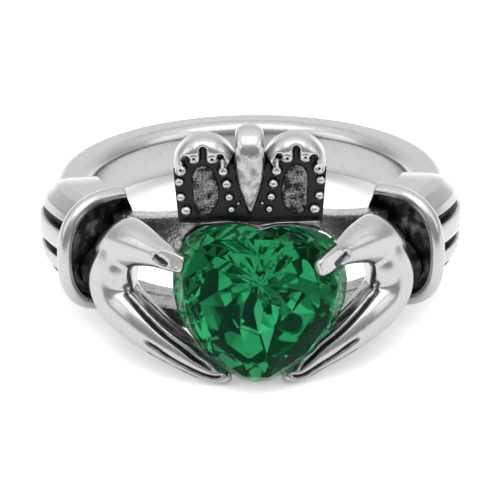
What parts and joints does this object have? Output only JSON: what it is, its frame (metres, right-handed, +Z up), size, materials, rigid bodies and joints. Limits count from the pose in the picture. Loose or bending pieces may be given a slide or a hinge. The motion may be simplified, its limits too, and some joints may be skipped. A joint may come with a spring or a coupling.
{
  "type": "claddagh ring",
  "caption": "Finger ring whose two hands hold a crowned heart-cut stone, with cuffs, ribbed shoulders and a plain comfort-fit band.",
  "frame": {"origin": "centre of the bounding box, on the surface that the ring lies on", "axes": "+X to the right of the head, +Y from the head to the back of the band, +Z up; the ring lies on its side, with the finger hole's axis 12.04 degrees from +Z towards +Y"},
  "size_m": [0.0252, 0.0276, 0.015],
  "materials": {
    "steel": "polished, blackened in the recesses",
    "stone": "clear green, faceted"
  },
  "bodies": {
    "root": {"ring_casting": "steel", "heart_stone": "stone"}
  },
  "joints": []
}
